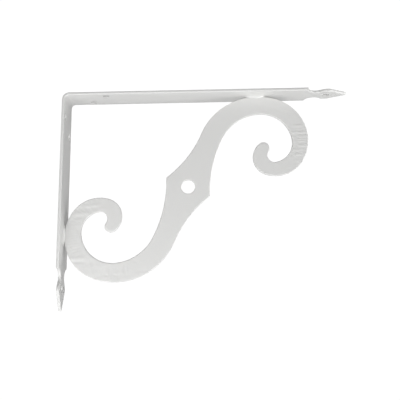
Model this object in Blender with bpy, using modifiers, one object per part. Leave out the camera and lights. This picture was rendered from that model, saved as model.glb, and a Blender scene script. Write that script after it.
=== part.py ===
"""Shelf bracket: a flat steel bar bent square, with spear ends, and an S scroll plate welded in its corner.

Metres, +Z up, +X out from the wall, Y across the bar. The origin lies on the wall face, at
half the wall arm's height and in the middle of the bar's width.
"""
import math

import bmesh
import bpy
from mathutils import Matrix, Vector

# The bar
SHELF_ARM = 0.200            # wall face to the tip under the shelf
WALL_ARM = 0.150             # shelf face to the tip on the wall
BAR_WIDTH = 0.020
BAR_THICKNESS = 0.002
BEND_RADIUS = 0.003          # inside the corner
BAR_EDGE_ROUND = 0.0004

# The spear at each end of the bar
SPEAR_LENGTH = 0.028         # shoulder to tip
NECK_WIDTH = 0.0085
LEAF_WIDTH = 0.0144
LEAF_FROM_TIP = 0.0142       # widest place of the leaf, with a screw hole in it
TIP_RADIUS = 0.0009

# Screw holes: one in each leaf, and two staggered ones in each arm near the corner
SCREW_HOLE = 0.0046
SHELF_HOLE_FROM_WALL = 0.019
WALL_HOLE_FROM_SHELF = 0.017
HOLE_PITCH = 0.011
HOLE_STAGGER = 0.011         # across the bar, between the two rows

# The scroll plate
SCROLL_WIDTH = 0.169
PLATE_THICKNESS = 0.002
PLATE_EDGE_ROUND = 0.0004
MIDDLE_HOLE = 0.0096

# The edges of the scroll's upper half, which is turned half a circle to give the lower one. Each
# edge starts at one of the two points of the middle. An arc is a radius, in hundredths of the
# scroll's width, and a turn in degrees, to the left where it is above zero.
MIDDLE_POINT = (-8.9, 4.0)   # the left point, from the middle hole, in the same hundredths
BACK_HEADING = 36.9
BACK_ARCS = ((46.3, 29.7), (25.9, -83.2), (18.3, -102.7), (13.3, -77.3), (7.6, -126.8))
BELLY_HEADING = 91.5
BELLY_ARCS = ((50.8, -28.7), (18.4, -60.0), (12.8, -86.7))
COIL_EYE_RADIUS = 8.5
END_LOBE_RADIUS = 2.5
NOTCH_RADIUS = 2.9

# The welds between plate and bar
TOUCHING_GAP = 0.0003        # between solids that touch
PLATE_TO_BAR = 0.0005
WELD_LENGTH = 0.013
WELD_LEG = 0.0015
WELD_SINK = 0.0002           # how far the weld's inner face lies inside the plate

ARC_STEP = math.radians(6)
HOLE_SIDES = 28
CUT_MARGIN = 0.004           # how far a cutter runs past what it cuts
MERGE = 0.000002

SHELF_FACE = WALL_ARM / 2    # height of the shelf arm's top face
COLOUR = (0.80, 0.80, 0.79, 1.0)


def clear_scene():
    for thing in list(bpy.data.objects):
        bpy.data.objects.remove(thing, do_unlink=True)


def new_collection(name):
    collection = bpy.data.collections.new(name)
    bpy.context.scene.collection.children.link(collection)
    return collection


def painted_steel(name):
    material = bpy.data.materials.new(name)
    material.use_nodes = True
    shader = material.node_tree.nodes["Principled BSDF"]
    shader.inputs["Base Color"].default_value = COLOUR
    shader.inputs["Roughness"].default_value = 0.35
    shader.inputs["Metallic"].default_value = 0.0
    return material


# Plane outlines

def heading_vector(angle):
    return Vector((math.cos(angle), math.sin(angle)))


def arc_points(centre, radius, start, turn):
    """Points of an arc from its start angle, without its first point."""
    steps = max(2, math.ceil(abs(turn) / ARC_STEP))
    return [centre + radius * heading_vector(start + turn * i / steps) for i in range(1, steps + 1)]


def run_of_arcs(start, heading, arcs, unit):
    """Arcs that run on from each other, as points, with the last point and heading."""
    points = [start]
    for share, degrees in arcs:
        turn = math.radians(degrees)
        side = math.copysign(math.pi / 2, turn)
        radius = share * unit
        centre = points[-1] + radius * heading_vector(heading + side)
        points += arc_points(centre, radius, heading - side, turn)
        heading += turn
    return points, heading


def angle_of(vector):
    return math.atan2(vector.y, vector.x)


def notch_centre(lobe, lobe_radius, eye, eye_radius, notch_radius):
    """Centre of the round that meets the end lobe from outside and the coil's eye from inside."""
    to_lobe = lobe_radius + notch_radius
    to_eye = eye_radius - notch_radius
    between = eye - lobe
    along = (to_lobe ** 2 - to_eye ** 2 + between.length ** 2) / (2 * between.length)
    aside = math.sqrt(to_lobe ** 2 - along ** 2)
    direction = between.normalized()
    return lobe + along * direction + aside * Vector((direction.y, -direction.x))


def half_scroll(unit):
    """Edge of the upper half, from the left point of the middle round the coil to the right one."""
    left_point = Vector(MIDDLE_POINT) * unit
    back, back_heading = run_of_arcs(left_point, math.radians(BACK_HEADING), BACK_ARCS, unit)
    belly, belly_heading = run_of_arcs(-left_point, math.radians(BELLY_HEADING), BELLY_ARCS, unit)
    lobe_radius = END_LOBE_RADIUS * unit
    eye_radius = COIL_EYE_RADIUS * unit
    notch_radius = NOTCH_RADIUS * unit
    lobe = back[-1] + lobe_radius * heading_vector(back_heading - math.pi / 2)
    eye = belly[-1] + eye_radius * heading_vector(belly_heading - math.pi / 2)
    notch = notch_centre(lobe, lobe_radius, eye, eye_radius, notch_radius)

    lobe_start = angle_of(back[-1] - lobe)
    lobe_end = angle_of(notch - lobe)
    lobe_turn = -((lobe_start - lobe_end) % math.tau)
    notch_start = angle_of(lobe - notch)
    notch_end = angle_of(notch - eye)
    notch_turn = (notch_end - notch_start) % math.tau
    eye_end = angle_of(belly[-1] - eye)
    eye_turn = (eye_end - notch_end) % math.tau

    edge = list(back)
    edge += arc_points(lobe, lobe_radius, lobe_start, lobe_turn)
    edge += arc_points(notch, notch_radius, notch_start, notch_turn)
    edge += arc_points(eye, eye_radius, notch_end, eye_turn)
    edge += belly[-2::-1]
    return edge


def scroll_outline():
    """The whole scroll round its middle hole, as wide as SCROLL_WIDTH."""
    trial = half_scroll(1.0)
    reach = max(abs(point.x) for point in trial)
    half = half_scroll(SCROLL_WIDTH / 2 / reach)
    return half[:-1] + [-point for point in half[:-1]]


def spear_edge(reach):
    """One edge of a spear from its shoulder to the middle of its tip, along an arm of this reach."""
    shoulder = reach - SPEAR_LENGTH
    neck_radius = (BAR_WIDTH - NECK_WIDTH) / 2
    neck = Vector((shoulder + neck_radius, BAR_WIDTH / 2))
    leaf_x = reach - LEAF_FROM_TIP
    rise = BAR_WIDTH / 2 - LEAF_WIDTH / 2
    run = leaf_x - neck.x
    # the leaf's round meets the neck's round without a straight between them
    leaf_radius = (run ** 2 + rise ** 2 - neck_radius ** 2) / (2 * (neck_radius - rise))
    leaf = Vector((leaf_x, LEAF_WIDTH / 2 - leaf_radius))
    tip = Vector((reach - TIP_RADIUS, 0.0))

    meeting = angle_of(leaf - neck)
    to_tip = tip - leaf
    taper = angle_of(to_tip) + math.acos((leaf_radius - TIP_RADIUS) / to_tip.length)
    neck_start = -math.pi
    leaf_start = meeting + math.pi

    edge = [Vector((shoulder, BAR_WIDTH / 2))]
    edge += arc_points(neck, neck_radius, neck_start, meeting - neck_start)
    edge += arc_points(leaf, leaf_radius, leaf_start, taper - leaf_start)
    edge.append(tip + TIP_RADIUS * heading_vector(taper))
    edge += arc_points(tip, TIP_RADIUS, taper, -taper)
    return edge


def spear_waste_outline(reach):
    """What is cut away round a spear."""
    edge = spear_edge(reach)
    other = [Vector((point.x, -point.y)) for point in edge[-2::-1]]
    side = BAR_WIDTH / 2 + CUT_MARGIN
    shoulder = reach - SPEAR_LENGTH
    end = reach + CUT_MARGIN
    surround = [(shoulder, -side), (end, -side), (end, side), (shoulder, side)]
    return edge + other + [Vector(corner) for corner in surround]


def bar_profile():
    """The bent bar from the side, with both ends longer than the spears that are cut from them."""
    outer = BEND_RADIUS + BAR_THICKNESS
    centre = Vector((outer, -outer))
    right = math.pi / 2
    shelf_end = SHELF_ARM + CUT_MARGIN / 2
    wall_end = WALL_ARM + CUT_MARGIN / 2
    profile = [Vector((0.0, -wall_end)), Vector((0.0, -outer))]
    profile += arc_points(centre, outer, 2 * right, -right)
    profile.append(Vector((shelf_end, 0.0)))
    profile.append(Vector((shelf_end, -BAR_THICKNESS)))
    profile.append(Vector((outer, -BAR_THICKNESS)))
    profile += arc_points(centre, BEND_RADIUS, right, right)
    profile.append(Vector((BAR_THICKNESS, -wall_end)))
    return profile


# Solids

def slab(name, outline, thickness, collection):
    """A flat outline given thickness, half of it on each side of its plane."""
    curve = bpy.data.curves.new(name, "CURVE")
    curve.dimensions = "2D"
    curve.fill_mode = "BOTH"
    curve.extrude = thickness / 2
    spline = curve.splines.new("POLY")
    spline.points.add(len(outline) - 1)
    for place, point in zip(spline.points, outline):
        place.co = (point.x, point.y, 0.0, 1.0)
    spline.use_cyclic_u = True
    drawn = bpy.data.objects.new(name + "_curve", curve)
    collection.objects.link(drawn)
    bpy.context.view_layer.update()
    evaluated = drawn.evaluated_get(bpy.context.evaluated_depsgraph_get())
    mesh = bpy.data.meshes.new_from_object(evaluated)
    bpy.data.objects.remove(drawn, do_unlink=True)
    shape = bmesh.new()
    shape.from_mesh(mesh)
    bmesh.ops.remove_doubles(shape, verts=shape.verts, dist=MERGE)
    bmesh.ops.recalc_face_normals(shape, faces=shape.faces)
    shape.to_mesh(mesh)
    shape.free()
    mesh.name = name
    solid = bpy.data.objects.new(name, mesh)
    collection.objects.link(solid)
    return solid


def drill(name, places, diameter, depth, collection):
    """Round pins at places in the plane, to cut holes with."""
    shape = bmesh.new()
    for x, y in places:
        bmesh.ops.create_cone(
            shape, cap_ends=True, segments=HOLE_SIDES,
            radius1=diameter / 2, radius2=diameter / 2, depth=depth,
            matrix=Matrix.Translation((x, y, 0.0)))
    mesh = bpy.data.meshes.new(name)
    shape.to_mesh(mesh)
    shape.free()
    pins = bpy.data.objects.new(name, mesh)
    collection.objects.link(pins)
    return pins


def combine(solid, tool, operation):
    tool.hide_render = True
    tool.display_type = "WIRE"
    step = solid.modifiers.new(tool.name, "BOOLEAN")
    step.operation = operation
    step.solver = "EXACT"
    step.object = tool


def round_edges(solid, width):
    """Round the sharp edges, once the triangles of each flat face are one face again."""
    flat = solid.modifiers.new("flat_faces", "DECIMATE")
    flat.decimate_type = "DISSOLVE"
    flat.angle_limit = math.radians(0.5)
    step = solid.modifiers.new("edge_round", "BEVEL")
    step.width = width
    step.segments = 2
    step.limit_method = "ANGLE"
    step.angle_limit = math.radians(40)
    step.use_clamp_overlap = False


def finish(solid, material):
    solid.data.materials.append(material)
    solid.data.shade_smooth()
    solid.data.set_sharp_from_angle(angle=math.radians(35))


def stand_in_arm(thing, arm):
    """Turn a tool drawn along +X so that it lies in the middle of an arm's thickness."""
    if arm == "shelf":
        thing.location = (0.0, 0.0, SHELF_FACE - BAR_THICKNESS / 2)
    else:
        thing.location = (BAR_THICKNESS / 2, 0.0, SHELF_FACE)
        thing.rotation_euler = (0.0, math.pi / 2, 0.0)


def build_bar(parts, tools):
    bar = slab("bar", bar_profile(), BAR_WIDTH, parts)
    bar.location = (0.0, 0.0, SHELF_FACE)
    bar.rotation_euler = (math.pi / 2, 0.0, 0.0)
    tool_depth = BAR_THICKNESS + 2 * CUT_MARGIN
    row = HOLE_STAGGER / 2
    for arm, reach in (("shelf", SHELF_ARM), ("wall", WALL_ARM)):
        waste = slab(arm + "_spear_cut", spear_waste_outline(reach), tool_depth, tools)
        stand_in_arm(waste, arm)
        combine(bar, waste, "DIFFERENCE")
    round_edges(bar, BAR_EDGE_ROUND)
    screwed = (
        ("shelf", SHELF_ARM, SHELF_HOLE_FROM_WALL, row),
        ("wall", WALL_ARM, WALL_HOLE_FROM_SHELF, -row),
    )
    for arm, reach, first_hole, first_row in screwed:
        places = [
            (first_hole, first_row),
            (first_hole + HOLE_PITCH, -first_row),
            (reach - LEAF_FROM_TIP, 0.0),
        ]
        pins = drill(arm + "_screw_holes", places, SCREW_HOLE, tool_depth, tools)
        stand_in_arm(pins, arm)
        combine(bar, pins, "DIFFERENCE")
    finish(bar, painted_steel("bar_paint"))


def weld_bead(name, location, rotation, collection):
    """A flat-topped bead along X with its wide face up, sunk into the plate below."""
    depth = WELD_LEG + WELD_SINK
    foot = Vector((WELD_LENGTH, PLATE_THICKNESS + 2 * WELD_LEG, 0.0))
    inner = Vector((WELD_LENGTH - 2 * WELD_LEG, PLATE_THICKNESS - 2 * WELD_SINK, 0.0))
    shape = bmesh.new()
    bmesh.ops.create_cube(shape, size=1.0)
    for corner in shape.verts:
        wide = corner.co.z > 0
        spread = foot if wide else inner
        corner.co = Vector((corner.co.x * spread.x, corner.co.y * spread.y, 0.0 if wide else -depth))
    mesh = bpy.data.meshes.new(name)
    shape.to_mesh(mesh)
    shape.free()
    bead = bpy.data.objects.new(name, mesh)
    bead.location = location
    bead.rotation_euler = rotation
    collection.objects.link(bead)
    return bead


def build_scroll(parts, tools):
    outline = scroll_outline()
    top = max(outline, key=lambda point: point.y)
    left = min(outline, key=lambda point: point.x)
    inset = BAR_THICKNESS + PLATE_TO_BAR
    middle = Vector((inset - left.x, 0.0, SHELF_FACE - inset - top.y))
    scroll = slab("scroll", outline, PLATE_THICKNESS, parts)
    scroll.location = middle
    scroll.rotation_euler = (math.pi / 2, 0.0, 0.0)
    round_edges(scroll, PLATE_EDGE_ROUND)

    hole = drill("middle_hole", [(0.0, 0.0)], MIDDLE_HOLE, PLATE_THICKNESS + 2 * CUT_MARGIN, tools)
    hole.location = middle
    hole.rotation_euler = (math.pi / 2, 0.0, 0.0)
    combine(scroll, hole, "DIFFERENCE")

    bar_inner = BAR_THICKNESS + TOUCHING_GAP
    shelf_weld = (middle.x + top.x, 0.0, SHELF_FACE - bar_inner)
    wall_weld = (bar_inner, 0.0, middle.z + left.y)
    combine(scroll, weld_bead("shelf_weld", shelf_weld, (0.0, 0.0, 0.0), tools), "UNION")
    combine(scroll, weld_bead("wall_weld", wall_weld, (0.0, -math.pi / 2, 0.0), tools), "UNION")
    finish(scroll, painted_steel("scroll_paint"))


def build():
    clear_scene()
    parts = new_collection("decorative_bracket")
    tools = new_collection("cutters")
    build_bar(parts, tools)
    build_scroll(parts, tools)


build()
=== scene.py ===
"""The looks of a white painted steel shelf bracket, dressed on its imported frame.

Metres, +Z up, +X out from the wall, Y across the bar. The origin lies on the wall face. The
viewer stands on the -Y side, so that side of a piece is called its front.
"""
import math

import bmesh
import bpy
from bpy.props import FloatProperty, FloatVectorProperty, IntProperty, PointerProperty
from mathutils import Matrix, Vector, noise


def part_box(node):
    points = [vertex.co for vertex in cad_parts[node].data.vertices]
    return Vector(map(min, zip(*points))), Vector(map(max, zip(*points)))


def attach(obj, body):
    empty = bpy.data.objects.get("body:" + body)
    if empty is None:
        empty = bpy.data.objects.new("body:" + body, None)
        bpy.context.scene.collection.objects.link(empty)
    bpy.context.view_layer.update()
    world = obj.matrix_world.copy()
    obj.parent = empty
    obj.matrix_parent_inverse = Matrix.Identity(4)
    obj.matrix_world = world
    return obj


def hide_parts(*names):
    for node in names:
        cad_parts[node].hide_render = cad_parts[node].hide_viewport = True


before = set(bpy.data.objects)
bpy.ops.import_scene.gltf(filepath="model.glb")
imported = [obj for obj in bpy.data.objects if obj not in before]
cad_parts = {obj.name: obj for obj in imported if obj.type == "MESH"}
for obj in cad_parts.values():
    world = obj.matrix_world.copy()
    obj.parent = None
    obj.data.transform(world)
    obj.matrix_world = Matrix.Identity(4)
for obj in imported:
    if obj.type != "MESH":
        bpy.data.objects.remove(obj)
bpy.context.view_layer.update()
BAR_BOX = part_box("bar")

bl_info = {
    "name": "Decorative shelf bracket",
    "version": (1, 0, 0),
    "blender": (4, 5, 0),
    "location": "View3D > Sidebar > Bracket",
    "description": "A white steel shelf bracket with an S scroll, and a stage to show it on",
    "category": "Add Mesh",
}

MM = 0.001
MERGE_DISTANCE = 0.000002

# The edges of the scroll's upper half, in millimetres from the middle hole. The lower half is the
# same one turned half a circle. Each edge starts at one of the two points of the middle. An arc
# is a radius, a turn in degrees, to the left where it is above zero, and a number of steps.
MIDDLE_POINT = (-15.031, 6.756)
BACK_HEADING = 36.9
BACK_ARCS = (
    (78.195, 29.7, 62),
    (43.742, -83.2, 137),
    (30.906, -102.7, 119),
    (22.462, -77.3, 64),
    (12.835, -126.8, 60),
)
BELLY_HEADING = 91.5
BELLY_ARCS = (
    (85.795, -28.7, 62),
    (31.075, -60.0, 112),
    (21.618, -86.7, 113),
    (14.355, -86.4, 85),
    (4.898, -135.38, 70),
)
END_LOBE = (4.222, -162.28, 30)
CROWN_ARC = 1                # the back arc that touches the shelf arm, and in the lower half
SIDE_ARC = 2                 # the one that touches the wall arm
DRAWING_GAP = 0.02 * MM      # between drawn ends that are meant to meet

# The hammer strokes on the coils, in millimetres from the middle hole: where a stroke starts and
# ends as x and z, its half width, and its share of the full height, sunk below zero.
STROKE_SPREAD = 1.35         # how far a stroke's soft foot runs, for each half width
UPPER_STROKES = (
    (73.2, 42.2, 82.4, 42.3, 1.2, 0.85),
    (81.2, 40.7, 84.1, 40.8, 0.8, 1.14),
    (81.5, 39.1, 84.7, 39.3, 0.9, 0.76),
    (72.9, 37.5, 84.9, 37.7, 1.1, 0.90),
    (77.6, 34.7, 85.1, 34.9, 1.0, 1.90),
    (74.7, 32.7, 84.6, 32.7, 0.8, 0.85),
    (74.6, 31.1, 83.8, 31.3, 0.9, 0.95),
    (77.9, 28.0, 84.6, 28.1, 1.0, 1.90),
    (71.8, 24.7, 79.8, 24.8, 1.2, 0.70),
    (74.0, 21.3, 81.8, 21.6, 1.1, 1.30),
    (75.2, 17.0, 80.7, 16.3, 1.2, 0.66),
    (56.9, 55.3, 73.5, 47.6, 1.6, 0.47),
    (62.7, 58.2, 72.4, 53.6, 1.5, 0.47),
    (73.6, 50.3, 77.2, 50.2, 1.2, 0.66),
    (68.5, 59.3, 74.0, 55.9, 1.1, 0.57),
)
LOWER_STROKES = (
    (-77.3, -15.0, -71.0, -14.7, 1.6, -0.50),
    (-71.0, -14.7, -62.7, -14.1, 1.6, -0.50),
    (-79.4, -18.1, -68.2, -17.2, 1.2, 0.56),
    (-77.9, -20.2, -69.5, -20.1, 1.1, -0.43),
    (-77.8, -22.2, -72.2, -22.1, 1.0, 0.42),
    (-79.8, -25.8, -73.5, -25.6, 1.0, 0.38),
    (-76.3, -12.6, -73.9, -12.1, 0.8, 0.51),
    (-73.2, -10.7, -69.1, -9.1, 0.8, 0.34),
    (-71.1, -12.4, -60.6, -11.6, 1.1, 0.42),
    (-59.2, -14.1, -56.4, -13.8, 0.8, 0.30),
    (-75.4, -27.3, -75.3, -34.1, 0.8, -0.34),
    (-80.7, -21.4, -78.6, -19.7, 0.8, 0.42),
    (-80.7, -39.5, -79.1, -42.5, 0.8, 0.42),
    (-80.0, -48.0, -70.3, -48.1, 1.3, 0.50),
    (-79.2, -50.2, -69.5, -50.9, 1.1, -0.56),
    (-70.9, -54.6, -66.7, -54.9, 1.0, 0.34),
    (-63.9, -60.1, -56.5, -60.3, 1.8, -0.38),
    (-56.5, -59.7, -53.7, -59.9, 0.8, -0.68),
    (-53.1, -53.1, -53.7, -62.4, 0.9, -0.42),
    (-49.4, -55.1, -49.3, -55.1, 2.7, 0.26),
    (-51.0, -59.2, -47.7, -60.2, 0.8, -0.51),
    (-47.5, -59.1, -47.5, -62.4, 0.9, -0.51),
    (-43.1, -50.5, -43.4, -57.8, 1.0, -0.85),
    (-41.6, -54.5, -41.5, -58.5, 0.7, 0.51),
    (-38.0, -50.7, -35.0, -50.7, 0.9, -0.42),
    (-34.9, -57.1, -27.6, -56.9, 1.3, -0.42),
    (-29.9, -57.9, -28.3, -58.2, 0.7, 0.59),
    (-18.9, -49.7, -18.8, -49.7, 0.6, 0.51),
    (-21.6, -52.3, -21.5, -52.3, 0.6, 0.51),
    (-29.9, -43.6, -29.8, -43.6, 0.6, 0.51),
)

# Bands of fainter marks, in degrees round a coil from where it bulges furthest out. A band comes in
# over the first two, gets weaker by a share over the next two, and goes out over the last two.
UPPER_STREAKS = (-38, -22, 0.75, 22, 40, 65, 95)
LOWER_STREAKS = (-75, -35, 0.5, 40, 60, 80, 125)
LOWER_MOTTLE = (30, 55, 0.0, 55, 100, 100, 130)
STREAKS_FROM = 14 * MM       # from the coil's centre, where the streaks are weakest
STREAKS_TO = 27 * MM         # and where they are strongest
STREAKS_PER_RADIAN = 9.0
STREAK_LENGTH = 11 * MM
COIL_SHIFT = 3.0             # keeps the two coils from showing the same streaks
BACK_SHIFT = 7.0             # does the same for the plate's two faces
MOTTLE_SIZE = 5 * MM

# The hammered ends of the bar, from the tip
FINE_GRID = 0.034            # how far the faces are cut up finely
GRID_PITCH = 0.7 * MM
GRID_ROWS = 12               # cuts on each side of the bar's middle
HAMMERED_FROM = 0.033
HAMMERED_FULLY = 0.027
DENT_SIZE = 3.6 * MM

# Steps of the rounds, and how far the paint rounds the rims of the holes
BEND_STEPS = 30
SPEAR_STEPS = 30
TIP_STEPS = 16
HOLE_SIDES = 64
FLARE_STEPS = 5
SCREW_HOLE_FLARE = 0.15 * MM
MIDDLE_HOLE_FLARE = 0.4 * MM
CUT_MARGIN = 4 * MM          # how far a spear's cutter runs past the bar

# Height of the paint's soft ripple
BAR_RIPPLE = 0.00006
SCROLL_RIPPLE = 0.00005

STAGE_X = 0.1                # middle of the floor and the backdrop
WHITE = 1.05                 # strength that the camera sees as pure white
LIGHT_AIM = (0.09, 0.0, 0.0)
# The soft lights: name, place, side length and power in watts
SOFT_LIGHTS = (
    ("front_light", (0.09, -1.4, 0.0), 2.0, 6.1),
    ("right_light", (1.455, -0.24, 0.195), 0.9, 6.8),
    ("far_left_light", (-0.695, -0.453, -0.423), 0.6, 1.9),
    ("low_left_light", (-0.25, -0.84, -0.42), 0.6, 2.1),
    ("low_right_light", (0.563, -0.273, -0.651), 0.5, 2.0),
)


class BarSettings(bpy.types.PropertyGroup):
    """Sizes of the bent bar."""

    shelf_arm: FloatProperty(
        name="Shelf arm", description="From the wall to the tip under the shelf",
        default=BAR_BOX[1].x, unit="LENGTH")
    wall_arm: FloatProperty(
        name="Wall arm", description="From the shelf down to the tip on the wall",
        default=BAR_BOX[1].z - BAR_BOX[0].z, unit="LENGTH")
    width: FloatProperty(
        name="Width", description="Width of the flat bar",
        default=BAR_BOX[1].y - BAR_BOX[0].y, unit="LENGTH")
    thickness: FloatProperty(
        name="Thickness", description="Thickness of the flat bar", default=0.002, unit="LENGTH")
    bend_radius: FloatProperty(
        name="Bend radius", description="Radius inside the corner", default=0.003, unit="LENGTH")
    edge_round: FloatProperty(
        name="Edge round", description="Round of the painted edges", default=0.0005, unit="LENGTH")
    spear_length: FloatProperty(
        name="Spear length", description="From the shoulder to the tip", default=0.028,
        unit="LENGTH")
    neck_width: FloatProperty(
        name="Neck width", description="Narrowest place of a spear", default=0.0085, unit="LENGTH")
    leaf_width: FloatProperty(
        name="Leaf width", description="Widest place of a spear's leaf", default=0.0144,
        unit="LENGTH")
    leaf_from_tip: FloatProperty(
        name="Leaf from tip", description="From the tip to the widest place and its screw hole",
        default=0.0142, unit="LENGTH")
    tip_radius: FloatProperty(
        name="Tip radius", description="Round of the tip, seen flat", default=0.0009,
        unit="LENGTH")
    screw_hole: FloatProperty(
        name="Screw hole", description="Diameter of the screw holes", default=0.0046,
        unit="LENGTH")
    shelf_hole: FloatProperty(
        name="First shelf hole", description="From the wall to the first hole of the shelf arm",
        default=0.019, unit="LENGTH")
    wall_hole: FloatProperty(
        name="First wall hole", description="From the shelf to the first hole of the wall arm",
        default=0.017, unit="LENGTH")
    hole_pitch: FloatProperty(
        name="Hole pitch", description="Along the arm, between its two staggered holes",
        default=0.011, unit="LENGTH")
    hole_stagger: FloatProperty(
        name="Hole stagger", description="Across the arm, between its two staggered holes",
        default=0.011, unit="LENGTH")
    hammer_depth: FloatProperty(
        name="Hammer marks", description="Depth of the marks on the spears", default=0.00014,
        unit="LENGTH")


class ScrollSettings(bpy.types.PropertyGroup):
    """Sizes of the scroll plate and its welds."""

    middle: FloatVectorProperty(
        name="Middle", description="Centre of the middle hole", default=(0.087, 0.0, 0.0079065),
        subtype="XYZ", unit="LENGTH")
    thickness: FloatProperty(
        name="Thickness", description="Thickness of the plate", default=0.002, unit="LENGTH")
    edge_round: FloatProperty(
        name="Edge round", description="Round of the painted edges", default=0.0005, unit="LENGTH")
    middle_hole: FloatProperty(
        name="Middle hole", description="Diameter of the middle hole", default=0.0096,
        unit="LENGTH")
    columns: IntProperty(
        name="Columns", description="Faces across the plate, which carry the hammer marks",
        default=32, min=2, max=60)
    stroke_height: FloatProperty(
        name="Strokes", description="Height of a full hammer stroke", default=0.00013,
        unit="LENGTH")
    streak_depth: FloatProperty(
        name="Streaks", description="Depth of the faint hammer streaks across the coils",
        default=0.00016, unit="LENGTH")
    mottle_depth: FloatProperty(
        name="Mottle", description="Depth of the round hammer marks on the lower coil",
        default=0.00016, unit="LENGTH")
    weld_length: FloatProperty(
        name="Weld length", description="Length of each weld", default=0.0150, unit="LENGTH")
    weld_on_bar: FloatProperty(
        name="Weld on the bar", description="How far a weld runs out on the bar",
        default=0.0032, unit="LENGTH")
    shelf_weld_height: FloatProperty(
        name="Shelf weld height", description="How far the shelf weld runs up the plate",
        default=0.0016, unit="LENGTH")
    wall_weld_height: FloatProperty(
        name="Wall weld height", description="How far the wall weld runs up the plate",
        default=0.0010, unit="LENGTH")
    weld_shift: FloatProperty(
        name="Weld shift", description="How far a weld sits from the touching place, to the corner",
        default=0.0012, unit="LENGTH")


class PaintSettings(bpy.types.PropertyGroup):
    """Colour and gloss of the paint."""

    colour: FloatVectorProperty(
        name="Colour", description="Colour of the white paint", default=(0.72, 0.72, 0.72),
        subtype="COLOR", min=0.0, max=1.0)
    shade: FloatVectorProperty(
        name="Shade", description="The paint's slightly darker patches",
        default=(0.68, 0.68, 0.68), subtype="COLOR", min=0.0, max=1.0)
    gloss_low: FloatProperty(
        name="Lowest roughness", description="Roughness of the smoothest paint", default=0.26,
        min=0.0, max=1.0, subtype="FACTOR")
    gloss_high: FloatProperty(
        name="Highest roughness", description="Roughness of the dullest paint", default=0.38,
        min=0.0, max=1.0, subtype="FACTOR")
    peel: FloatProperty(
        name="Orange peel", description="Height of the fine ripple that spraying leaves",
        default=0.00003, unit="LENGTH")


class StageSettings(bpy.types.PropertyGroup):
    """Floor, light and camera."""

    floor_drop: FloatProperty(
        name="Floor drop", description="Air between the bracket and the floor", default=0.7,
        unit="LENGTH")
    floor_colour: FloatVectorProperty(
        name="Floor colour", description="Colour that the floor reflects",
        default=(0.92, 0.92, 0.92), subtype="COLOR", min=0.0, max=1.0)
    sky: FloatProperty(
        name="Room light", description="Strength of the light from all round", default=0.20)
    floor_glow: FloatProperty(
        name="Floor glow", description="Light that the floor sends up in front of the bracket",
        default=0.24)
    floor_glow_behind: FloatProperty(
        name="Floor glow behind", description="Light that the floor behind the bracket sends up",
        default=0.36)
    camera_place: FloatVectorProperty(
        name="Camera place", description="Where the camera stands",
        default=(0.09902, -0.34796, -0.06738), subtype="XYZ", unit="LENGTH")
    camera_turn: FloatVectorProperty(
        name="Camera turn", description="Tilt up, roll and turn to the left",
        default=(0.18706, 0.01809, 0.01447), subtype="EULER", unit="ROTATION")
    focal_length: FloatProperty(
        name="Focal length", description="Lens of the camera in millimetres on a 36 mm sensor",
        default=46.338)


# Modelling helpers

def deselect_everything():
    if bpy.context.mode != "OBJECT":
        bpy.ops.object.mode_set(mode="OBJECT")
    bpy.ops.object.select_all(action="DESELECT")


def make_active(piece):
    deselect_everything()
    piece.select_set(True)
    bpy.context.view_layer.objects.active = piece


def edit(piece):
    make_active(piece)
    bpy.ops.object.mode_set(mode="EDIT")


def start_point(name, place):
    """Begin a piece in edit mode with one vertex, from a small plane merged at its centre."""
    deselect_everything()
    bpy.ops.mesh.primitive_plane_add(size=MM, location=place)
    piece = bpy.context.object
    piece.name = name
    bpy.ops.object.mode_set(mode="EDIT")
    bpy.ops.mesh.select_mode(type="VERT")
    bpy.ops.mesh.select_all(action="SELECT")
    bpy.ops.mesh.merge(type="CENTER")
    return piece


def next_point(place):
    """Add one more loose vertex to the piece in edit mode, and leave only it selected."""
    bpy.ops.mesh.select_all(action="DESELECT")
    bpy.ops.mesh.primitive_plane_add(size=MM, location=place)
    bpy.ops.mesh.merge(type="CENTER")


def pick(kind, wanted):
    """Select the vertices, edges or faces of the piece in edit mode that pass a test."""
    bpy.ops.mesh.select_all(action="DESELECT")
    bpy.ops.mesh.select_mode(type=kind)
    mesh = bpy.context.object.data
    shape = bmesh.from_edit_mesh(mesh)
    parts = {"VERT": shape.verts, "EDGE": shape.edges, "FACE": shape.faces}[kind]
    found = [part for part in parts if wanted(part)]
    if not found:
        raise RuntimeError(f"nothing to select on {bpy.context.object.name}")
    for part in found:
        part.select_set(True)
    bmesh.update_edit_mesh(mesh)


def is_sharp(edge, least=40):
    """Whether two faces meet at an edge with at least this angle, in degrees."""
    return len(edge.link_faces) == 2 and edge.calc_face_angle(0.0) > math.radians(least)


def merge_all(distance=MERGE_DISTANCE):
    """Merge everything that lies closer together than a distance, in edit mode."""
    bpy.ops.mesh.select_all(action="SELECT")
    bpy.ops.mesh.remove_doubles(threshold=distance)


def close_up():
    """Merge doubles and turn all faces outwards, in edit mode."""
    merge_all()
    bpy.ops.mesh.normals_make_consistent(inside=False)


def place_in_mesh(piece):
    """Put the object's place into its mesh, so that the object itself sits at the origin."""
    make_active(piece)
    bpy.ops.object.transform_apply(location=True, rotation=True, scale=True)


def apply_modifier(piece, modifier):
    make_active(piece)
    bpy.ops.object.modifier_apply(modifier=modifier.name)


def cut_away(piece, tool):
    """Cut a tool's shape out of a piece, and remove the tool."""
    step = piece.modifiers.new("cut", "BOOLEAN")
    step.operation = "DIFFERENCE"
    step.solver = "EXACT"
    step.object = tool
    apply_modifier(piece, step)
    mesh = tool.data
    bpy.data.objects.remove(tool, do_unlink=True)
    bpy.data.meshes.remove(mesh)


def heading_vector(angle):
    return Vector((math.cos(angle), math.sin(angle)))


def standing(flat, y):
    """A place in the plane of the plate, given as x and z, at a depth y."""
    return Vector((flat[0], y, flat[1]))


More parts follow.
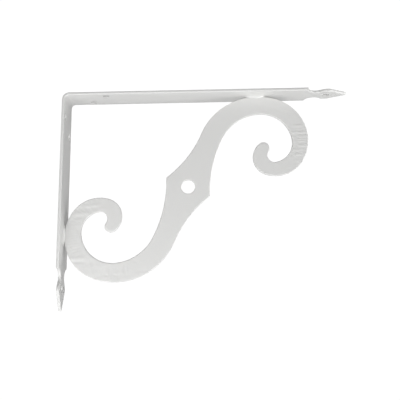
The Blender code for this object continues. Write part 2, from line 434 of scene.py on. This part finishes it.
def spin_end(centre, turn, steps, axis=(0.0, 1.0, 0.0)):
    """Carry the selected end round a centre, to the left where the turn is above zero, as seen
    by a viewer that the axis points away from."""
    bpy.ops.mesh.spin(steps=steps, angle=turn, center=centre, axis=axis)


def extrude(move):
    """Draw the selected faces, or a line's selected end, on by a straight."""
    bpy.ops.mesh.extrude_region_move(TRANSFORM_OT_translate={"value": move})


def follow_arcs(place, heading, arcs):
    """Centre, turn and steps of each arc in a run, with the place and heading where it ends."""
    for radius, degrees, steps in arcs:
        turn = math.radians(degrees)
        side = math.copysign(math.pi / 2, turn)
        centre = place + radius * MM * heading_vector(heading + side)
        heading += turn
        place = centre + radius * MM * heading_vector(heading - side)
        yield centre, turn, steps, place, heading


def draw_arcs(place, heading, arcs, y):
    """Draw arcs that run on from each other, and give the place and heading where they end."""
    for centre, turn, steps, place, heading in follow_arcs(place, heading, arcs):
        spin_end(standing(centre, y), turn, steps)
    return place, heading


def arc_centre(number, middle):
    """Centre of one of the upper half's back arcs."""
    start = Vector((middle.x, middle.z)) + Vector(MIDDLE_POINT) * MM
    arcs = list(follow_arcs(start, math.radians(BACK_HEADING), BACK_ARCS))
    return arcs[number][0]


def flared_pin(name, place, axis, diameter, depth, flare):
    """A cutter for a hole whose rims are rounded over, from a cylinder with flaring ends."""
    origin = (0.0, 0.0, 0.0)
    overrun = 0.5 * MM
    spread = 1.1
    deselect_everything()
    straight = depth - 2 * flare
    bpy.ops.mesh.primitive_cylinder_add(
        vertices=HOLE_SIDES, radius=diameter / 2, depth=straight, location=origin)
    pin = bpy.context.object
    pin.name = name
    bpy.ops.object.mode_set(mode="EDIT")
    for end in (1, -1):
        pick("FACE", lambda face: face.normal.z * end > 0.9)
        radius = diameter / 2
        height = 0.0
        for step in range(1, FLARE_STEPS + 1):
            angle = math.radians(90 / FLARE_STEPS * step)
            wider = diameter / 2 + flare * (1 - math.cos(angle))
            higher = flare * math.sin(angle)
            extrude((0.0, 0.0, end * (higher - height)))
            bpy.ops.transform.resize(
                value=(wider / radius, wider / radius, 1.0), center_override=origin)
            radius = wider
            height = higher
        extrude((0.0, 0.0, end * overrun))
        bpy.ops.transform.resize(value=(spread, spread, 1.0), center_override=origin)
    close_up()
    bpy.ops.object.mode_set(mode="OBJECT")
    pin.rotation_euler = Vector(axis).to_track_quat("Z", "Y").to_euler()
    pin.location = place
    place_in_mesh(pin)
    return pin


def smooth(piece, angle=35):
    make_active(piece)
    bpy.ops.object.shade_smooth_by_angle(angle=math.radians(angle))


def ramp(value, low, high):
    """0 below low, 1 above high, and a smooth rise between them."""
    share = min(1.0, max(0.0, (value - low) / (high - low)))
    return share * share * (3 - 2 * share)


def press_marks(piece, name, weight_at, texture, depth, uv_map=None):
    """Press a pattern of marks into a piece, as deep as a weight at each place says. Without a
    texture the weights alone draw the marks, raised where the depth is above zero."""
    group = piece.vertex_groups.new(name=name)
    for vertex in piece.data.vertices:
        weight = weight_at(vertex.co, vertex.normal)
        if weight > 0.001:
            group.add([vertex.index], weight, "REPLACE")
    step = piece.modifiers.new(name, "DISPLACE")
    step.texture = texture
    step.strength = depth
    step.mid_level = 0.5 if texture else 0.0
    step.direction = "NORMAL"
    step.vertex_group = name
    if uv_map:
        step.texture_coords = "UV"
        step.uv_layer = uv_map
    else:
        step.texture_coords = "LOCAL"
    apply_modifier(piece, step)
    piece.vertex_groups.remove(piece.vertex_groups[name])


# Materials

def add_node(tree, kind, **values):
    """Add a shader node and set its inputs, whose names have _ here where they have a space."""
    node = tree.nodes.new(kind)
    for name, value in values.items():
        node.inputs[name.replace("_", " ")].default_value = value
    return node


def new_material(name):
    material = bpy.data.materials.new(name)
    material.use_nodes = True
    return material, material.node_tree


def show_camera(tree, lit, seen, output):
    """Light the bracket with one shader, and let the camera see another."""
    path = tree.nodes.new("ShaderNodeLightPath")
    choice = tree.nodes.new("ShaderNodeMixShader")
    tree.links.new(path.outputs["Is Camera Ray"], choice.inputs["Fac"])
    tree.links.new(lit, choice.inputs[1])
    tree.links.new(seen, choice.inputs[2])
    tree.links.new(choice.outputs["Shader"], output)


def white_paint(name, ripple):
    """Satin white paint with a fine spray ripple and slight changes of shade and gloss."""
    paint = bpy.context.scene.bracket_paint
    material, tree = new_material(name)
    links = tree.links
    shader = tree.nodes["Principled BSDF"]
    shader.inputs["Metallic"].default_value = 0.0
    shader.inputs["IOR"].default_value = 1.5
    where = tree.nodes.new("ShaderNodeTexCoord")

    patches = add_node(tree, "ShaderNodeTexNoise", Scale=55.0, Detail=4.0, Roughness=0.6)
    links.new(where.outputs["Object"], patches.inputs["Vector"])
    shades = tree.nodes.new("ShaderNodeValToRGB")
    dark, light = shades.color_ramp.elements
    dark.position = 0.3
    dark.color = (*paint.shade, 1.0)
    light.position = 0.62
    light.color = (*paint.colour, 1.0)
    links.new(patches.outputs["Fac"], shades.inputs["Fac"])
    links.new(shades.outputs["Color"], shader.inputs["Base Color"])

    gloss = add_node(
        tree, "ShaderNodeMapRange",
        From_Min=0.3, From_Max=0.7, To_Min=paint.gloss_low, To_Max=paint.gloss_high)
    links.new(patches.outputs["Fac"], gloss.inputs["Value"])
    links.new(gloss.outputs["Result"], shader.inputs["Roughness"])

    peel = add_node(tree, "ShaderNodeTexNoise", Scale=900.0, Detail=2.0)
    links.new(where.outputs["Object"], peel.inputs["Vector"])
    fine = add_node(tree, "ShaderNodeBump", Strength=0.6, Distance=paint.peel)
    links.new(peel.outputs["Fac"], fine.inputs["Height"])

    runs = add_node(tree, "ShaderNodeTexNoise", Scale=160.0, Detail=1.0)
    links.new(where.outputs["Object"], runs.inputs["Vector"])
    soft = add_node(tree, "ShaderNodeBump", Strength=1.0, Distance=ripple)
    links.new(runs.outputs["Fac"], soft.inputs["Height"])
    links.new(fine.outputs["Normal"], soft.inputs["Normal"])
    links.new(soft.outputs["Normal"], shader.inputs["Normal"])
    return material


def dress(piece, material, slot, *nodes):
    """Give a finished piece its paint and tie it to the frame."""
    piece.data.materials.clear()
    piece.data.materials.append(material)
    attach(piece, "root")
    if nodes:
        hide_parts(*nodes)


def paint_named(name, ripple):
    return bpy.data.materials.get(name) or white_paint(name, ripple)


# The bar

def spear_shape(reach, bar):
    """Centres and turns of the arcs that draw one edge of a spear, seen flat along +X."""
    half = bar.width / 2
    neck_radius = (bar.width - bar.neck_width) / 2
    neck = Vector((reach - bar.spear_length + neck_radius, half))
    rise = half - bar.leaf_width / 2
    run = reach - bar.leaf_from_tip - neck.x
    # the leaf's round meets the neck's round without a straight between them
    leaf_radius = (run ** 2 + rise ** 2 - neck_radius ** 2) / (2 * (neck_radius - rise))
    leaf = Vector((reach - bar.leaf_from_tip, bar.leaf_width / 2 - leaf_radius))
    tip = Vector((reach - bar.tip_radius, 0.0))
    meeting = math.atan2(leaf.y - neck.y, leaf.x - neck.x) + math.pi
    to_tip = tip - leaf
    lean = math.acos((leaf_radius - bar.tip_radius) / to_tip.length)
    taper = math.atan2(to_tip.y, to_tip.x) + lean
    return {
        "neck": neck,
        "neck_turn": meeting,
        "leaf": leaf,
        "leaf_turn": taper - meeting,
        "tip": tip,
        "taper": taper,
        "tip_start": tip + bar.tip_radius * heading_vector(taper),
        "leaf_end": leaf + leaf_radius * heading_vector(taper),
    }


def spear_cutter(name, reach, bar):
    """What is cut away round a spear, drawn flat along +X and given depth."""
    shape = spear_shape(reach, bar)
    shoulder = reach - bar.spear_length
    side = bar.width / 2
    depth = bar.thickness + 2 * CUT_MARGIN
    down = (0.0, 0.0, -1.0)

    def flat(point, across=1):
        return Vector((point[0], across * point[1], -depth / 2))

    tool = start_point(name, flat((shoulder, side)))
    spin_end(flat(shape["neck"]), shape["neck_turn"], SPEAR_STEPS, down)
    spin_end(flat(shape["leaf"]), shape["leaf_turn"], SPEAR_STEPS, down)
    extrude(flat(shape["tip_start"]) - flat(shape["leaf_end"]))
    spin_end(flat(shape["tip"]), -2 * shape["taper"], TIP_STEPS, down)
    extrude(flat(shape["leaf_end"], -1) - flat(shape["tip_start"], -1))
    spin_end(flat(shape["leaf"], -1), shape["leaf_turn"], SPEAR_STEPS, down)
    spin_end(flat(shape["neck"], -1), shape["neck_turn"], SPEAR_STEPS, down)
    here = flat((shoulder, side), -1)
    past_side = side + CUT_MARGIN
    past_tip = reach + CUT_MARGIN
    for corner in ((shoulder, -past_side), (past_tip, -past_side), (past_tip, past_side),
                   (shoulder, past_side), (shoulder, side)):
        there = flat(corner)
        extrude(there - here)
        here = there
    merge_all()
    bpy.ops.mesh.edge_face_add()
    extrude((0.0, 0.0, depth))
    close_up()
    bpy.ops.object.mode_set(mode="OBJECT")
    return tool


def stand_on_arm(tool, arm, bar):
    """Turn a tool drawn flat along +X so that it lies in the middle of an arm's thickness."""
    top = BAR_BOX[1].z
    if arm == "shelf":
        tool.location = tool.location + Vector((0.0, 0.0, top - bar.thickness / 2))
    else:
        turn = Matrix.Rotation(math.pi / 2, 4, "Y")
        corner = Matrix.Translation((bar.thickness / 2, 0.0, top))
        tool.matrix_world = corner @ turn @ tool.matrix_world
    place_in_mesh(tool)


def bent_blank(bar):
    """The flat bar before its ends are cut, from a block whose top face is spun round the bend."""
    top = BAR_BOX[1].z
    spare = 2 * MM
    outer = bar.bend_radius + bar.thickness
    low = top - bar.wall_arm - spare
    high = top - outer
    deselect_everything()
    bpy.ops.mesh.primitive_cube_add(
        size=1.0, location=(bar.thickness / 2, 0.0, (low + high) / 2),
        scale=(bar.thickness, bar.width, high - low))
    piece = bpy.context.object
    piece.name = "bent_bar"
    place_in_mesh(piece)
    bpy.ops.object.mode_set(mode="EDIT")
    pick("FACE", lambda face: face.normal.z > 0.9)
    spin_end((outer, 0.0, high), -math.pi / 2, BEND_STEPS)
    extrude((bar.shelf_arm + spare - outer, 0.0, 0.0))
    close_up()
    bpy.ops.object.mode_set(mode="OBJECT")
    return piece


def cut_grid(start, stop, along):
    """Cut one spear, which runs along an axis, into a fine grid for hammer marks, in edit mode."""
    def in_spear(face):
        return start < face.calc_center_median()[along] < stop

    places = []
    steps = round((stop - start) / GRID_PITCH)
    for step in range(steps + 1):
        place = [0.0, 0.0, 0.0]
        place[along] = start + (stop - start) * step / steps
        places.append((place, along))
    for step in range(-GRID_ROWS, GRID_ROWS + 1):
        places.append(((0.0, step * GRID_PITCH, 0.0), 1))
    for place, axis in places:
        normal = [0.0, 0.0, 0.0]
        normal[axis] = 1.0
        if axis == 1:
            pick("FACE", in_spear)
        else:
            bpy.ops.mesh.select_all(action="SELECT")
        bpy.ops.mesh.bisect(plane_co=place, plane_no=normal)


class BRACKET_OT_bent_bar(bpy.types.Operator):
    """Model the flat bar, bent square, with a spear at each end and its screw holes"""

    bl_idname = "bracket.bent_bar"
    bl_label = "Bent bar"
    bl_options = {"REGISTER", "UNDO"}

    def execute(self, context):
        bar = context.scene.bracket_bar
        top = BAR_BOX[1].z
        piece = bent_blank(bar)
        for arm, reach in (("shelf", bar.shelf_arm), ("wall", bar.wall_arm)):
            tool = spear_cutter(arm + "_spear_cut", reach, bar)
            stand_on_arm(tool, arm, bar)
            cut_away(piece, tool)

        edit(piece)
        close_up()
        pick("EDGE", is_sharp)
        bpy.ops.mesh.bevel(
            offset=bar.edge_round, segments=3, affect="EDGES", clamp_overlap=False)
        close_up()
        cut_grid(bar.shelf_arm - FINE_GRID, bar.shelf_arm, 0)
        low = top - bar.wall_arm
        cut_grid(low, low + FINE_GRID, 2)
        bpy.ops.object.mode_set(mode="OBJECT")

        row = bar.hole_stagger / 2
        middle = bar.thickness / 2
        shelf_holes = (
            (bar.shelf_hole, row),
            (bar.shelf_hole + bar.hole_pitch, -row),
            (bar.shelf_arm - bar.leaf_from_tip, 0.0),
        )
        wall_holes = (
            (bar.wall_hole, -row),
            (bar.wall_hole + bar.hole_pitch, row),
            (bar.wall_arm - bar.leaf_from_tip, 0.0),
        )
        holes = [((x, y, top - middle), (0.0, 0.0, 1.0)) for x, y in shelf_holes]
        holes += [((middle, y, top - z), (1.0, 0.0, 0.0)) for z, y in wall_holes]
        for place, axis in holes:
            pin = flared_pin(
                "screw_hole", place, axis, bar.screw_hole, bar.thickness, SCREW_HOLE_FLARE)
            cut_away(piece, pin)

        dents = bpy.data.textures.new("spear_dents", "VORONOI")
        dents.noise_scale = DENT_SIZE
        dents.noise_intensity = 1.0

        def on_spear(place, normal):
            """How hard a place was hammered: on the spears, and only on their open side."""
            tip = bar.wall_arm - top
            shelf = ramp(place.x, bar.shelf_arm - HAMMERED_FROM, bar.shelf_arm - HAMMERED_FULLY)
            wall = ramp(-place.z, tip - HAMMERED_FROM, tip - HAMMERED_FULLY)
            open_side = shelf * ramp(-normal.z, 0.1, 0.8) + wall * ramp(normal.x, 0.1, 0.8)
            return min(1.0, open_side)

        press_marks(piece, "spear_dents", on_spear, dents, bar.hammer_depth)
        smooth(piece)
        dress(piece, paint_named("bar_paint", BAR_RIPPLE), "bar_paint", "bar")
        return {"FINISHED"}


# The scroll

def drawn_half(scroll):
    """Draw both edges of the scroll's upper half and face the strip between them, in edit mode."""
    middle = scroll.middle
    front = middle.y - scroll.thickness / 2
    centre = Vector((middle.x, middle.z))
    left = centre + Vector(MIDDLE_POINT) * MM
    right = centre - Vector(MIDDLE_POINT) * MM
    piece = start_point("scroll_plate", standing(left, front))
    place, heading = draw_arcs(left, math.radians(BACK_HEADING), BACK_ARCS, front)
    next_point(standing(right, front))
    draw_arcs(right, math.radians(BELLY_HEADING), BELLY_ARCS, front)
    bpy.ops.mesh.select_all(action="SELECT")
    bpy.ops.mesh.bridge_edge_loops()

    end = standing(place, front)
    pick("VERT", lambda vertex: (vertex.co + piece.location - end).length < DRAWING_GAP / 2)
    draw_arcs(place, heading, (END_LOBE,), front)
    merge_all(DRAWING_GAP)
    pick("EDGE", lambda edge: edge.is_wire)
    bpy.ops.mesh.edge_face_add()
    return piece


def polar_map(piece, name, middle, upper, lower):
    """Unwrap the plate round the centres of its coils, with hammer streaks running outwards."""
    mesh = piece.data
    layer = mesh.uv_layers.new(name=name)
    places = [None] * len(mesh.vertices)
    for vertex in mesh.vertices:
        angle, radius, side = round_coil(vertex.co, middle, upper, lower)
        back = BACK_SHIFT if vertex.co.y > middle.y else 0.0
        places[vertex.index] = (
            angle * STREAKS_PER_RADIAN + side * COIL_SHIFT + back, radius / STREAK_LENGTH + back)
    for loop in mesh.loops:
        layer.data[loop.index].uv = places[loop.vertex_index]


def round_coil(place, middle, upper, lower):
    """Angle and radius of a place round its own coil, and 1 on the upper coil or -1 on the lower.
    The angle is 0 where the coil bulges furthest out, and above zero towards the other coil."""
    # a line through the middle hole, leaning to the left, parts the coils
    side = 1 if place.x - middle.x + 0.3 * (place.z - middle.z) > 0 else -1
    coil = upper if side == 1 else lower
    across = side * (place.x - coil[0])
    along = side * (place.z - coil[1])
    return math.atan2(along, across), math.hypot(across, along), side


def band_at(band, turn):
    """How strong a band of marks is at an angle round its coil, in degrees."""
    begin, full, loss, weaker_from, weaker_to, last, end = band
    weaker = 1 - loss * ramp(turn, weaker_from, weaker_to)
    return ramp(turn, begin, full) * weaker * (1 - ramp(turn, last, end))


def stroke_at(strokes, x, z):
    """How much of the full height the strongest stroke has at a place."""
    strongest = 0.0
    for start_x, start_z, end_x, end_z, narrow, height in strokes:
        half = STROKE_SPREAD * narrow
        if not (min(start_x, end_x) - half < x < max(start_x, end_x) + half
                and min(start_z, end_z) - half < z < max(start_z, end_z) + half):
            continue
        run = end_x - start_x
        rise = end_z - start_z
        share = ((x - start_x) * run + (z - start_z) * rise) / (run ** 2 + rise ** 2)
        share = min(1.0, max(0.0, share))
        away = math.hypot(x - start_x - share * run, z - start_z - share * rise) / half
        # a stroke gets lower towards its ends
        fade = 1 - 0.6 * (2 * share - 1) ** 4
        if away < 1:
            strongest = max(strongest, abs(height) * fade * (1 - away ** 2) ** 2)
    return strongest


class BRACKET_OT_scroll_plate(bpy.types.Operator):
    """Model the S scroll as a plate with rounded edges, a middle hole and hammer marks"""

    bl_idname = "bracket.scroll_plate"
    bl_label = "Scroll plate"
    bl_options = {"REGISTER", "UNDO"}

    def execute(self, context):
        scroll = context.scene.bracket_scroll
        middle = scroll.middle.copy()
        half = scroll.thickness / 2
        piece = drawn_half(scroll)
        bpy.ops.mesh.select_all(action="SELECT")
        bpy.ops.mesh.duplicate()
        bpy.ops.transform.rotate(value=math.pi, orient_axis="Y", center_override=middle)
        merge_all()
        extrude((0.0, scroll.thickness, 0.0))
        close_up()
        pick("EDGE", is_sharp)
        bpy.ops.mesh.bevel(
            offset=scroll.edge_round, segments=3, affect="EDGES", clamp_overlap=False)
        shortest_rung = 3 * MM
        pick("EDGE", lambda edge: edge.calc_length() > shortest_rung
             and len(edge.link_faces) == 2
             and all(abs(face.normal.y) > 0.99 for face in edge.link_faces))
        bpy.ops.mesh.subdivide(number_cuts=scroll.columns - 1)
        close_up()
        bpy.ops.object.mode_set(mode="OBJECT")
        place_in_mesh(piece)

        pin = flared_pin(
            "middle_hole", middle, (0.0, 1.0, 0.0), scroll.middle_hole, scroll.thickness,
            MIDDLE_HOLE_FLARE)
        cut_away(piece, pin)

        upper = arc_centre(SIDE_ARC, middle)
        lower = 2 * Vector((middle.x, middle.z)) - upper
        polar_map(piece, "round_coil", middle, upper, lower)
        streaks = bpy.data.textures.new("streaks", "CLOUDS")
        streaks.noise_scale = 1.0
        streaks.noise_depth = 2
        mottle = bpy.data.textures.new("mottle", "VORONOI")
        mottle.noise_scale = MOTTLE_SIZE

        def streaked(place, normal):
            """How strongly a place shows streaks: on the outer side of each coil."""
            angle, radius, side = round_coil(place, middle, upper, lower)
            band = UPPER_STREAKS if side == 1 else LOWER_STREAKS
            outwards = ramp(radius, STREAKS_FROM, STREAKS_TO)
            return band_at(band, math.degrees(angle)) * (0.25 + 0.75 * outwards)

        def mottled(place, normal):
            """How strongly a place shows round marks: along the bottom of the lower coil."""
            angle, _, side = round_coil(place, middle, upper, lower)
            return 0.0 if side == 1 else band_at(LOWER_MOTTLE, math.degrees(angle))

        all_strokes = UPPER_STROKES + LOWER_STROKES
        raised = [stroke for stroke in all_strokes if stroke[-1] > 0]
        sunk = [stroke for stroke in all_strokes if stroke[-1] < 0]

        def struck(strokes):
            def weight_at(place, normal):
                """The strokes reach both faces, and the back shows them at half height."""
                flat = ramp(abs(normal.y), 0.3, 0.8) * (1.0 if normal.y < 0 else 0.5)
                x = (place.x - middle.x) / MM
                z = (place.z - middle.z) / MM
                return flat * stroke_at(strokes, x, z)
            return weight_at

        press_marks(piece, "raised", struck(raised), None, scroll.stroke_height)
        press_marks(piece, "sunk", struck(sunk), None, -scroll.stroke_height)
        press_marks(piece, "streaks", streaked, streaks, scroll.streak_depth, "round_coil")
        press_marks(piece, "mottle", mottled, mottle, scroll.mottle_depth)
        smooth(piece)
        dress(piece, paint_named("scroll_paint", SCROLL_RIPPLE), "scroll_paint", "scroll")
        return {"FINISHED"}


# The welds

def weld_bead(name, touch, away, along, height, scroll):
    """A weld where the plate touches the bar: a section with two hollow sides, drawn out along
    the bar and thinned out at both ends. away points from the bar's face to the plate."""
    half = scroll.thickness / 2
    sunk = 0.08 * MM
    inset = 0.2 * MM
    crown = 0.01 * MM
    turn = math.radians(50)
    hollow_steps = 8
    begin = touch - along * scroll.weld_length / 2

    def spot(across, down):
        return begin + Vector((0.0, across, 0.0)) + away * down

    foot = spot(-half - scroll.weld_on_bar, 0.0)
    head = spot(-half, height)
    other_head = spot(half, height)
    span = head - foot
    reach = span.length / 2 / math.tan(turn / 2)
    side = 1 if along.cross(away).y > 0 else -1
    outwards = (away * scroll.weld_on_bar + Vector((0.0, -height, 0.0))).normalized()
    hollow = (foot + head) / 2 + outwards * reach
    mirrored = 2 * begin.y - hollow.y
    other_hollow = Vector((hollow.x, mirrored, hollow.z))

    piece = start_point(name, foot - away * sunk)
    extrude(away * sunk)
    spin_end(hollow, side * turn, hollow_steps, along)
    inner = spot(-half + inset, height + crown)
    other_inner = spot(half - inset, height + crown)
    extrude(inner - head)
    extrude(other_inner - inner)
    extrude(other_head - other_inner)
    spin_end(other_hollow, side * turn, hollow_steps, along)
    extrude(-away * sunk)
    bpy.ops.mesh.select_all(action="SELECT")
    bpy.ops.mesh.edge_face_add()

    root = begin - away * sunk
    steps = 24
    thinnest = 0.05
    fullness = 2.5
    blunt_ends = 0.7
    unevenness = 0.04
    before = thinnest
    bpy.ops.transform.resize(value=(before,) * 3, center_override=root)
    move = along * scroll.weld_length / steps
    for step in range(1, steps + 1):
        place = 2 * step / steps - 1
        wobble = 1 + unevenness * noise.noise(Vector((step * 0.7, touch.x * 100, 3.0)))
        size = max(thinnest, (1 - abs(place) ** fullness) ** blunt_ends * wobble)
        extrude(move)
        root = root + move
        bpy.ops.transform.resize(value=(size / before,) * 3, center_override=root)
        before = size
    close_up()
    bpy.ops.object.mode_set(mode="OBJECT")
    place_in_mesh(piece)
    smooth(piece, 50)
    return piece


class BRACKET_OT_welds(bpy.types.Operator):
    """Model the two welds that hold the scroll to the bar's arms"""

    bl_idname = "bracket.welds"
    bl_label = "Welds"
    bl_options = {"REGISTER", "UNDO"}

    def execute(self, context):
        bar = context.scene.bracket_bar
        scroll = context.scene.bracket_scroll
        middle = scroll.middle
        crown = arc_centre(CROWN_ARC, middle)
        bulge = 2 * Vector((middle.x, middle.z)) - arc_centre(SIDE_ARC, middle)
        down = Vector((0.0, 0.0, -1.0))
        out = Vector((1.0, 0.0, 0.0))
        shift = scroll.weld_shift
        under_shelf = Vector((crown[0] - shift, middle.y, BAR_BOX[1].z - bar.thickness))
        on_wall = Vector((bar.thickness, middle.y, bulge[1] + shift))
        for name, touch, away, along, height in (
                ("shelf_weld", under_shelf, down, out, scroll.shelf_weld_height),
                ("wall_weld", on_wall, out, down, scroll.wall_weld_height)):
            piece = weld_bead(name, touch, away, along, height, scroll)
            dress(piece, paint_named("scroll_paint", SCROLL_RIPPLE), "scroll_paint")
        return {"FINISHED"}


# The stage

def plain_floor(stage):
    """A pale floor, which sends up more light behind the bracket than in front of it. The camera
    sees it as white as the room, so that it has no edge in a view from behind."""
    side = 4.0
    level = BAR_BOX[0].z - stage.floor_drop
    deselect_everything()
    bpy.ops.mesh.primitive_plane_add(size=1.0, location=(STAGE_X, 0.0, level))
    bpy.ops.transform.resize(value=(side, side, 1.0))
    floor = bpy.context.object
    floor.name = "floor"
    place_in_mesh(floor)
    bpy.ops.object.mode_set(mode="EDIT")
    bpy.ops.mesh.select_all(action="SELECT")
    bpy.ops.mesh.subdivide(number_cuts=7)
    bpy.ops.object.mode_set(mode="OBJECT")

    material, tree = new_material("pale_floor")
    links = tree.links
    shader = tree.nodes["Principled BSDF"]
    shader.inputs["Roughness"].default_value = 0.7
    shader.inputs["Emission Color"].default_value = (1.0, 1.0, 1.0, 1.0)
    where = tree.nodes.new("ShaderNodeTexCoord")
    parts = tree.nodes.new("ShaderNodeSeparateXYZ")
    links.new(where.outputs["Object"], parts.inputs["Vector"])
    glow = add_node(
        tree, "ShaderNodeMapRange", From_Min=-0.10, From_Max=0.25,
        To_Min=stage.floor_glow, To_Max=stage.floor_glow_behind)
    links.new(parts.outputs["Y"], glow.inputs["Value"])
    links.new(glow.outputs["Result"], shader.inputs["Emission Strength"])
    grain = add_node(tree, "ShaderNodeTexNoise", Scale=6.0)
    links.new(where.outputs["Object"], grain.inputs["Vector"])
    tone = tree.nodes.new("ShaderNodeValToRGB")
    dark, light = tone.color_ramp.elements
    dark.color = (*[0.98 * part for part in stage.floor_colour], 1.0)
    light.color = (*stage.floor_colour, 1.0)
    links.new(grain.outputs["Fac"], tone.inputs["Fac"])
    links.new(tone.outputs["Color"], shader.inputs["Base Color"])
    seen = add_node(tree, "ShaderNodeEmission", Strength=WHITE)
    surface = tree.nodes["Material Output"].inputs["Surface"]
    show_camera(tree, shader.outputs["BSDF"], seen.outputs["Emission"], surface)
    floor.data.materials.append(material)


def white_backdrop(stage):
    """A white sheet that rises from the floor behind the bracket. Only the camera sees it, so it
    sends no light to the bracket."""
    level = BAR_BOX[0].z - stage.floor_drop + MM
    width = 3.6
    front = 0.12
    back = 1.2
    fade_length = 0.14
    round_up = 0.8
    height = 1.6
    deselect_everything()
    bpy.ops.mesh.primitive_plane_add(size=1.0, location=(STAGE_X, (front + back) / 2, level))
    bpy.ops.transform.resize(value=(width, back - front, 1.0))
    sheet = bpy.context.object
    sheet.name = "backdrop"
    place_in_mesh(sheet)
    bpy.ops.object.mode_set(mode="EDIT")
    pick("EDGE", lambda edge: all(vertex.co.y > back - MM for vertex in edge.verts))
    spin_end((STAGE_X, back, level + round_up), -math.pi / 2, 24, (1.0, 0.0, 0.0))
    extrude((0.0, 0.0, height))
    bpy.ops.mesh.select_all(action="SELECT")
    bpy.ops.mesh.normals_make_consistent(inside=False)
    bpy.ops.object.mode_set(mode="OBJECT")
    smooth(sheet, 60)
    sheet.visible_diffuse = False
    sheet.visible_glossy = False
    sheet.visible_transmission = False
    sheet.visible_shadow = False

    material, tree = new_material("white_sheet")
    links = tree.links
    tree.nodes.remove(tree.nodes["Principled BSDF"])
    light = add_node(tree, "ShaderNodeEmission", Strength=WHITE)
    clear = tree.nodes.new("ShaderNodeBsdfTransparent")
    where = tree.nodes.new("ShaderNodeTexCoord")
    parts = tree.nodes.new("ShaderNodeSeparateXYZ")
    links.new(where.outputs["Object"], parts.inputs["Vector"])
    fade = add_node(tree, "ShaderNodeMapRange", From_Min=front, From_Max=front + fade_length)
    fade.interpolation_type = "SMOOTHSTEP"
    links.new(parts.outputs["Y"], fade.inputs["Value"])
    blend = tree.nodes.new("ShaderNodeMixShader")
    links.new(fade.outputs["Result"], blend.inputs["Fac"])
    links.new(clear.outputs["BSDF"], blend.inputs[1])
    links.new(light.outputs["Emission"], blend.inputs[2])
    links.new(blend.outputs["Shader"], tree.nodes["Material Output"].inputs["Surface"])
    sheet.data.materials.append(material)


def room(stage):
    """White all round as the camera sees it, with a softer strength as light on the bracket."""
    world = bpy.data.worlds.new("room")
    world.use_nodes = True
    tree = world.node_tree
    white = (1.0, 1.0, 1.0, 1.0)
    light = tree.nodes["Background"]
    light.inputs["Color"].default_value = white
    light.inputs["Strength"].default_value = stage.sky
    seen = add_node(tree, "ShaderNodeBackground", Color=white, Strength=WHITE)
    surface = tree.nodes["World Output"].inputs["Surface"]
    show_camera(tree, light.outputs["Background"], seen.outputs["Background"], surface)
    return world


def soft_light(name, place, size, power):
    """A square area light that is turned to the bracket and that the camera doesn't see."""
    deselect_everything()
    bpy.ops.object.light_add(type="AREA", location=place)
    light = bpy.context.object
    light.name = name
    light.data.shape = "SQUARE"
    light.data.size = size
    light.data.energy = power
    light.visible_camera = False
    towards = Vector(LIGHT_AIM) - Vector(place)
    light.rotation_euler = towards.to_track_quat("-Z", "Y").to_euler()


class BRACKET_OT_stage(bpy.types.Operator):
    """Set the pale floor, the soft lights and the camera round the bracket"""

    bl_idname = "bracket.stage"
    bl_label = "Stage"
    bl_options = {"REGISTER", "UNDO"}

    def execute(self, context):
        scene = context.scene
        stage = scene.bracket_stage
        plain_floor(stage)
        white_backdrop(stage)
        scene.world = room(stage)

        for name, place, size, power in SOFT_LIGHTS:
            soft_light(name, place, size, power)

        deselect_everything()
        bpy.ops.object.camera_add(location=stage.camera_place)
        camera = bpy.context.object
        camera.name = "photo_camera"
        tilt, roll, turn = stage.camera_turn
        lean = Matrix.Rotation(roll, 3, "Y") @ Matrix.Rotation(tilt, 3, "X")
        aim = lean @ Matrix.Rotation(turn, 3, "Z")
        right, forward, up = aim.col[0], aim.col[1], aim.col[2]
        camera.matrix_world = Matrix.LocRotScale(
            Vector(stage.camera_place), Matrix((right, up, -forward)).transposed(), None)
        camera.data.sensor_width = 36.0
        camera.data.lens = stage.focal_length
        camera.data.clip_start = 0.01
        camera.data.clip_end = 50.0
        scene.camera = camera
        scene.view_settings.view_transform = "Standard"
        scene.view_settings.look = "None"
        return {"FINISHED"}


# The add-on

class BRACKET_PT_sidebar(bpy.types.Panel):
    """The bracket's sizes, colours and pieces"""

    bl_idname = "BRACKET_PT_sidebar"
    bl_label = "Shelf bracket"
    bl_space_type = "VIEW_3D"
    bl_region_type = "UI"
    bl_category = "Bracket"

    def draw(self, context):
        scene = context.scene
        groups = (
            ("Bar", scene.bracket_bar, ("bracket.bent_bar",)),
            ("Scroll", scene.bracket_scroll, ("bracket.scroll_plate", "bracket.welds")),
            ("Paint", scene.bracket_paint, ()),
            ("Stage", scene.bracket_stage, ("bracket.stage",)),
        )
        for title, settings, operators in groups:
            box = self.layout.box()
            box.label(text=title)
            for name in settings.__annotations__:
                box.prop(settings, name)
            for operator in operators:
                box.operator(operator)


CLASSES = (
    BarSettings,
    ScrollSettings,
    PaintSettings,
    StageSettings,
    BRACKET_OT_bent_bar,
    BRACKET_OT_scroll_plate,
    BRACKET_OT_welds,
    BRACKET_OT_stage,
    BRACKET_PT_sidebar,
)


def register():
    for cls in CLASSES:
        bpy.utils.register_class(cls)
    bpy.types.Scene.bracket_bar = PointerProperty(type=BarSettings)
    bpy.types.Scene.bracket_scroll = PointerProperty(type=ScrollSettings)
    bpy.types.Scene.bracket_paint = PointerProperty(type=PaintSettings)
    bpy.types.Scene.bracket_stage = PointerProperty(type=StageSettings)


def unregister():
    del bpy.types.Scene.bracket_stage
    del bpy.types.Scene.bracket_paint
    del bpy.types.Scene.bracket_scroll
    del bpy.types.Scene.bracket_bar
    for cls in reversed(CLASSES):
        bpy.utils.unregister_class(cls)


def main():
    register()
    bpy.ops.bracket.bent_bar()
    bpy.ops.bracket.scroll_plate()
    bpy.ops.bracket.welds()
    bpy.ops.bracket.stage()


if __name__ == "__main__":
    main()
